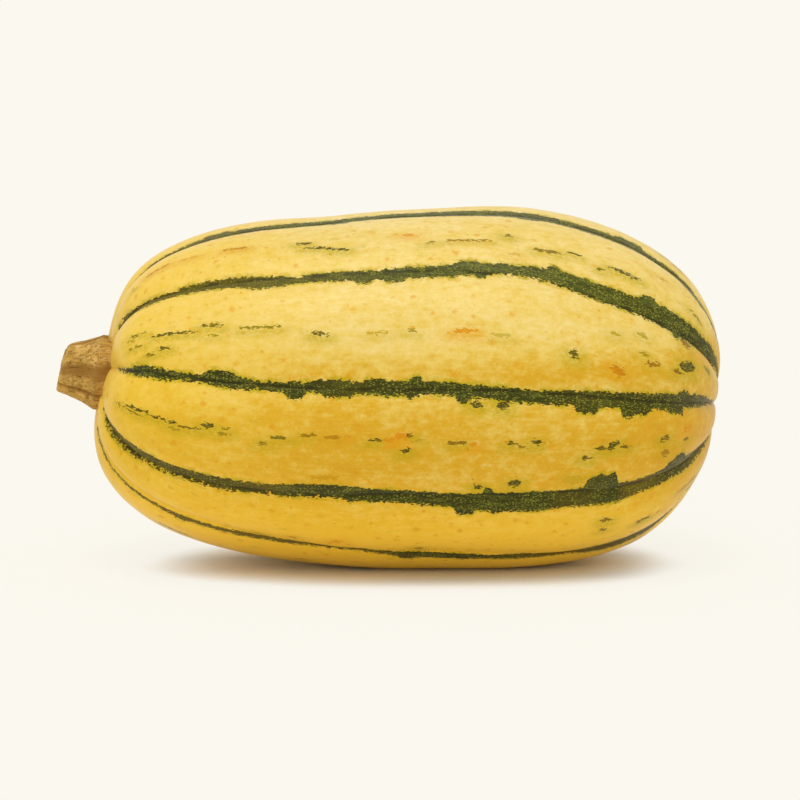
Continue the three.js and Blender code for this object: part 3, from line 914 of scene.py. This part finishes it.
    roughness = finish["roughness"] + (cloud - 0.5) * 0.12 + stripe * 0.05 + cork * 0.35
    plug(tree, shader.inputs["Roughness"], roughness)
    shader.inputs["Specular IOR Level"].default_value = finish["specular"]
    shader.inputs["Specular Tint"].default_value = finish["specularTint"]
    pits, _ = cells(tree, place, 1 / (1.3 * mm))
    skin = pits.ramp(0, 0.5) * 0.25 + brush * 0.4 + fray * stripe * 0.4 - freckles * 0.3 + stripe * 0.25
    bumpNormal(tree, shader, skin, finish["bumpDepth"])
    return material


stemSize = {
    "roundSegments": 280,
    "lengthwiseRings": 180,
    "rootRadius": 9.4 * mm,
    "waistRadius": 8.3 * mm,
    "tipRadius": 6 * mm,
    "length": 9.6 * mm,
    "buried": 5 * mm,
    "lean": math.radians(8.5),
    "cutLean": math.radians(11),
    "crestHeight": 0.5 * mm,  # of the ridges, above the radius
    "toeHeight": 0.3 * mm,  # how much more the ridges stand out at the root
    "rimWear": 1.3 * mm,
    "rimRound": 0.7 * mm,
    "cupDepth": 0.6 * mm,
    "lumpHeight": 0.5 * mm,
    "fibreHeight": 0.3 * mm,
    "crackDepth": 0.22 * mm,
    "pitDepth": 0.2 * mm,
}
# Valleys between the stem's ridges: (degrees round, half width in degrees, depth in mm)
stemValleys = [(8, 17, 0.9), (-31, 5.5, 0.75), (-84, 15, 1.1), (-139, 18, 1.0), (-186, 14, 1.2),
               (90, 15, 0.8), (131, 12, 1.0)]
stemShift = Vector((0, -0.2 * mm, 1 * mm))  # of the root, from the middle of the stem's box
cutShare = 0.2  # shares of the rings that make the cut face and the hidden base
baseShare = 0.05


def buildStemTree(values):
    tree, given = newShapeTree("squashStemShape", values)
    sphere = addNode(tree, "GeometryNodeMeshUVSphere",
                     {"Segments": given["roundSegments"], "Rings": given["lengthwiseRings"]})
    turn, ring = sphereShares(tree)
    onFace = ring.ramp(0, cutShare, smooth=False)
    downSide = ring.ramp(cutShare, 1 - baseShare, smooth=False)
    underBase = ring.ramp(1 - baseShare, 1, smooth=False)
    radial = onFace - underBase
    out = downSide.blend(given["length"], -given["buried"])
    share = (out / given["length"]).of("MAXIMUM", 0)
    angle = turn * (2 * math.pi)

    # ridges with valleys between them, deeper towards the root
    twisted = angle + share * 0.1
    valley = 0
    for degrees, wide, deep in stemValleys:
        valley = valley + (-turnedFrom(twisted, degrees, wide)).of("EXPONENT") * (deep * mm)
    toes = given["toeHeight"] * (1 - share) ** 3
    ridge = given["crestHeight"] + toes - valley * (1 + (1 - share) ** 2 * 0.5)
    flare = (given["rootRadius"] - given["waistRadius"]) * (1 - share) ** 3
    radius = share.blend(given["waistRadius"], given["tipRadius"]) + flare + ridge

    # the rim is rounded off between the side and the cut face, and the face is a little hollow
    nearRim = share.ramp(0.9, 1, smooth=False)
    radius = radius - nearRim * nearRim * (given["rimRound"] * 0.5)
    faceRim = onFace.ramp(0.8, 1, smooth=False) * (1 - downSide.of("GREATER_THAN", 0))
    cup = (1 - onFace * onFace) * given["cupDepth"]
    cup = cup + faceRim * faceRim * given["rimRound"] * 0.6

    reach = radial * radius
    up = reach * angle.of("SINE")
    cutSlope = (given["cutLean"] - given["lean"]).of("TANGENT")
    worn = (up / given["tipRadius"]).of("MAXIMUM", 0) ** 3 * given["rimWear"] * share ** 4
    along = up * cutSlope * share + worn + cup - out
    cosine = given["lean"].of("COSINE")
    sine = given["lean"].of("SINE")
    x = along * cosine + up * sine
    z = up * cosine - along * sine
    geometry = Wire(tree, sphere.outputs["Mesh"])
    geometry = storeAttribute(tree, geometry, "OFBake", Wire(tree, sphere.outputs["UV Map"]),
                              "FLOAT2", "CORNER")
    onCut = ring.of("LESS_THAN", cutShare)
    parts = combine(tree, share, onCut * (onFace * 0.98 + 0.02), valley / mm)
    geometry = storeAttribute(tree, geometry, "parts", parts)
    geometry = setPosition(tree, geometry, position=combine(tree, x, -(reach * angle.of("COSINE")), z))

    # corky lumps, lengthwise fibres, cracks and pits
    spot = pointPlace(tree)
    stored = outputOf(tree, "GeometryNodeInputNamedAttribute", {"Name": "parts"},
                      data_type="FLOAT_VECTOR")
    _, face, _ = separate(tree, stored)
    lumps = (noise(tree, spot, 210, 2, along=0.6) - 0.5) * given["lumpHeight"]
    fibres = (noise(tree, spot, 1300, 2, 0.6, along=0.13) - 0.5) * given["fibreHeight"]
    seam = noise(tree, spot, 420, 2, 0.55, along=0.2)
    crack = abs(seam - 0.5).ramp(0.02, 0.004) * noise(tree, spot, 260, 1).ramp(0.5, 0.62)
    pitDistance, (pitPick, pitSize, _) = cells(tree, stretch(tree, spot, (0.55, 1, 1)), 900)
    pit = (pitDistance / pitSize.blend(0.2, 0.42)).ramp(1, 0.3) * pitPick.of("GREATER_THAN", 0.8)
    sideDetail = fibres - crack * given["crackDepth"] - pit * given["pitDepth"]
    faceDetail = (noise(tree, spot, 900, 3, 0.6) - 0.5) * given["fibreHeight"] * 2
    detail = face.of("GREATER_THAN", 0.01).blend(sideDetail, faceDetail)
    geometry = storeAttribute(tree, geometry, "grain", combine(tree, detail / mm, 0, 0))
    geometry = pushOut(tree, geometry, lumps + detail)

    box = addNode(tree, "GeometryNodeBoundBox", {"Geometry": geometry})
    low, _, _ = separate(tree, Wire(tree, box.outputs["Min"]))
    _, middleY, middleZ = separate(tree, given["rootMiddle"])
    shift = combine(tree, given["tipPlace"] - low, middleY, middleZ)
    geometry = setPosition(tree, geometry, offset=shift)
    endShapeTree(tree, geometry, given["material"])
    return tree


stemFinish = {
    "tan": shade(206, 160, 74),
    "light": shade(228, 186, 106),
    "brown": shade(142, 98, 36),
    "olive": shade(158, 132, 58),
    "dark": shade(84, 56, 22),
    "rim": shade(200, 172, 96),
    "cut": shade(178, 146, 92),
    "roughness": 0.85,
    "specular": 0.25,
    "bumpDepth": 0.12 * mm,
    "mapReach": (52, 20),  # what the UV map spans round and along, in mm
}


def buildStemMaterial(finish, spots):
    material, tree, shader = newMaterial("corkyStem")
    place = objectPlace(tree)
    detail, _, _ = readAttribute(tree, "grain")
    share, face, valley = readAttribute(tree, "parts")
    onCut = face.of("GREATER_THAN", 0.01)
    _, _, above = separate(tree, place)
    fibre = noise(tree, place, 1900, 3, 0.65, along=0.2)
    streak = noise(tree, place, 640, 3, 0.65, along=0.3)
    patch = noise(tree, place, 260, 3, 0.6, along=0.5)
    cross = noise(tree, stretch(tree, place, (1, 0.35, 0.35)), 1100, 2, 0.6)
    # light streaks, the stem's own, made stronger towards its upper side as painted light from above
    light = streak.ramp(0.42, 0.62) * above.ramp(44 * mm, 58 * mm, 0.2, 1)
    colour = mixColour(tree, light, finish["tan"], finish["light"])
    colour = mixColour(tree, patch.ramp(0.42, 0.62) * 0.5, colour, finish["olive"])
    darkFibres = fibre.ramp(0.48, 0.62) * 0.65 + cross.ramp(0.55, 0.68) * 0.4
    colour = mixColour(tree, darkFibres, colour, finish["brown"])
    lightFibres = fibre.ramp(0.46, 0.36) * cross.ramp(0.5, 0.4) * 0.7
    colour = mixColour(tree, lightFibres, colour, finish["light"])
    # painted shade: browner in the valleys between the ridges, the more so the deeper they are
    colour = mixColour(tree, (valley + (patch - 0.5)).ramp(0.15, 0.8) * 0.8, colour, finish["brown"])
    u, v, _ = readUv(tree)
    onBark = combine(tree, u * finish["mapReach"][0], v * finish["mapReach"][1], 0)
    specks = scatter(tree, spots, onBark, 1.5, 0.28, 0.4)
    colour = mixColour(tree, specks * 0.55, colour, finish["dark"])
    rim = share.ramp(0.86, 1.0) * patch.ramp(0.3, 0.6)
    colour = mixColour(tree, rim * 0.7, colour, finish["rim"])
    rings = noise(tree, place, 900, 3, 0.6)
    cut = mixColour(tree, rings.ramp(0.4, 0.65), finish["brown"], finish["cut"])
    cut = mixColour(tree, face.ramp(0.25, 0.05) + face.ramp(0.6, 0.7) * face.ramp(0.82, 0.72) * 0.6,
                    cut, finish["brown"])
    colour = mixColour(tree, onCut, colour, cut)
    # painted shade: dark in the cracks and pits, where the surface sinks in
    colour = mixColour(tree, detail.ramp(-0.06, -0.2) * 0.6, colour, finish["dark"])
    # painted shadow: a little browner at the root, where the stem meets the fruit
    colour = mixColour(tree, share.ramp(0.1, 0.0) * 0.2, colour, finish["brown"])
    plug(tree, shader.inputs["Base Color"], colour)
    plug(tree, shader.inputs["Roughness"], finish["roughness"] + (fibre - 0.5) * 0.2)
    shader.inputs["Specular IOR Level"].default_value = finish["specular"]
    bumpNormal(tree, shader, fibre + specks * -0.5, finish["bumpDepth"])
    return material


spotGroup = buildSpots()
rind = buildRind(rindFinish, spotGroup)
bark = buildStemMaterial(stemFinish, spotGroup)
print("materials ready")

fruitValues = {**fruitSize, "lowCorner": fruitLow, "highCorner": fruitHigh, "material": rind}
fruit = growMesh("squashFruit", buildFruitTree(fruitValues), fruitValues)
print("fruit grown:", len(fruit.data.polygons), "faces")
paintFruit(fruit)

stemMiddle = (stemLow + stemHigh) / 2
rootMiddle = Vector((0, stemMiddle.y, stemMiddle.z)) + stemShift
stemValues = {**stemSize, "rootMiddle": rootMiddle, "tipPlace": stemLow.x, "material": bark}
stem = growMesh("stemStub", buildStemTree(stemValues), stemValues)
print("stem grown:", len(stem.data.polygons), "faces")

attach(fruit, "root")
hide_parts("squash_fruit")
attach(stem, "root")
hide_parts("stem")

studio = {
    "floorColour": shade(251, 248, 239),
    "floorReach": 12,  # metres
    "floorGlow": 0.9,
    "contactReach": 13 * mm,
    "contactOpenness": (0.15, 0.96),  # where the floor's glow sets in, and where it is full
    "skyShare": 0.66,  # of the light on the floor; the key light gives the rest
    "keyHeight": math.radians(76),
    "keySide": math.radians(-20),
    "keySpread": math.radians(30),
    "fillHeight": math.radians(8),
    "fillSide": math.radians(-15),
    "fillSpread": math.radians(60),
    "fillStrength": 0.08,
    "azimuth": math.radians(-2),
    "elevation": math.radians(9),
    "distance": 1.1,
    "lens": 193.4,
    "aim": Vector((3.1 * mm, 0, -3.57 * mm)),
}


# 1 where the camera sees a surface, straight or in a gloss or through glass
def seenShare(tree):
    rays = tree.nodes.new("ShaderNodeLightPath")
    seen = Wire(tree, rays.outputs["Is Camera Ray"])
    for other in ("Is Glossy Ray", "Is Transmission Ray"):
        seen = seen.of("MAXIMUM", Wire(tree, rays.outputs[other]))
    return seen


def mixShaders(tree, share, first, second, output):
    mixed = tree.nodes.new("ShaderNodeMixShader")
    tree.links.new(share.socket, mixed.inputs[0])
    tree.links.new(first.outputs[0], mixed.inputs[1])
    tree.links.new(second.outputs[0], mixed.inputs[2])
    tree.links.new(mixed.outputs[0], output.inputs["Surface"])


# The direction towards something at a side and a height, both angles seen from the part
def pointTowards(side, height):
    level = math.cos(height)
    return Vector((math.sin(side) * level, -math.cos(side) * level, math.sin(height)))


def addToScene(name, data, direction):
    piece = bpy.data.objects.new(name, data)
    piece.rotation_euler = direction.to_track_quat("Z", "Y").to_euler()
    bpy.context.scene.collection.objects.link(piece)
    return piece


def buildFloor(given):
    reach = given["floorReach"]
    mesh = bpy.data.meshes.new("floor")
    corners = [(-reach, -reach, 0), (reach, -reach, 0), (reach, reach, 0), (-reach, reach, 0)]
    mesh.from_pydata(corners, [], [(0, 1, 2, 3)])
    floor = bpy.data.objects.new("floor", mesh)
    bpy.context.scene.collection.objects.link(floor)
    material, tree, shader = newMaterial("paleFloor")
    plug(tree, shader.inputs["Base Color"], given["floorColour"])
    shader.inputs["Roughness"].default_value = 1
    shader.inputs["Specular IOR Level"].default_value = 0

    # the camera sees the floor's own pale colour in part, though not where something nearly touches it
    openness = outputOf(tree, "ShaderNodeAmbientOcclusion", {"Distance": given["contactReach"]}, "AO",
                        samples=8)
    clear = openness.ramp(*given["contactOpenness"])
    share = seenShare(tree) * clear * given["floorGlow"]
    glow = addNode(tree, "ShaderNodeEmission", {"Color": given["floorColour"], "Strength": 1.0})
    output = next(node for node in tree.nodes if node.type == "OUTPUT_MATERIAL")
    mixShaders(tree, share, shader, glow, output)
    mesh.materials.append(material)
    floor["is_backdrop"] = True


def buildSky(given):
    world = bpy.data.worlds.new("studio")
    bpy.context.scene.world = world
    world.use_nodes = True
    tree = world.node_tree
    tree.nodes.clear()
    sky = addNode(tree, "ShaderNodeBackground", {"Color": (1, 1, 1, 1), "Strength": given["skyShare"]})
    backdrop = addNode(tree, "ShaderNodeBackground", {"Color": given["floorColour"], "Strength": 1.0})
    mixShaders(tree, seenShare(tree), sky, backdrop, tree.nodes.new("ShaderNodeOutputWorld"))


def buildLamp(name, side, height, spread, strength):
    lamp = addToScene(name, bpy.data.lights.new(name, "SUN"), pointTowards(side, height))
    lamp.data.angle = spread
    lamp.data.energy = strength * math.pi


def buildCamera(given):
    direction = pointTowards(given["azimuth"], given["elevation"])
    camera = addToScene("camera", bpy.data.cameras.new("camera"), direction)
    camera.data.lens = given["lens"]
    camera.data.clip_end = 50
    camera.location = (cadLow + cadHigh) / 2 + given["aim"] + direction * given["distance"]
    bpy.context.scene.camera = camera


buildFloor(studio)
buildSky(studio)
keyStrength = (1 - studio["skyShare"]) / math.sin(studio["keyHeight"])
for lampName, lampStrength in (("key", keyStrength), ("fill", studio["fillStrength"])):
    side, height, spread = (studio[lampName + part] for part in ("Side", "Height", "Spread"))
    buildLamp(lampName + "Light", side, height, spread, lampStrength)
buildCamera(studio)
bpy.context.scene.view_settings.view_transform = "Standard"
print("floor, light and camera placed")
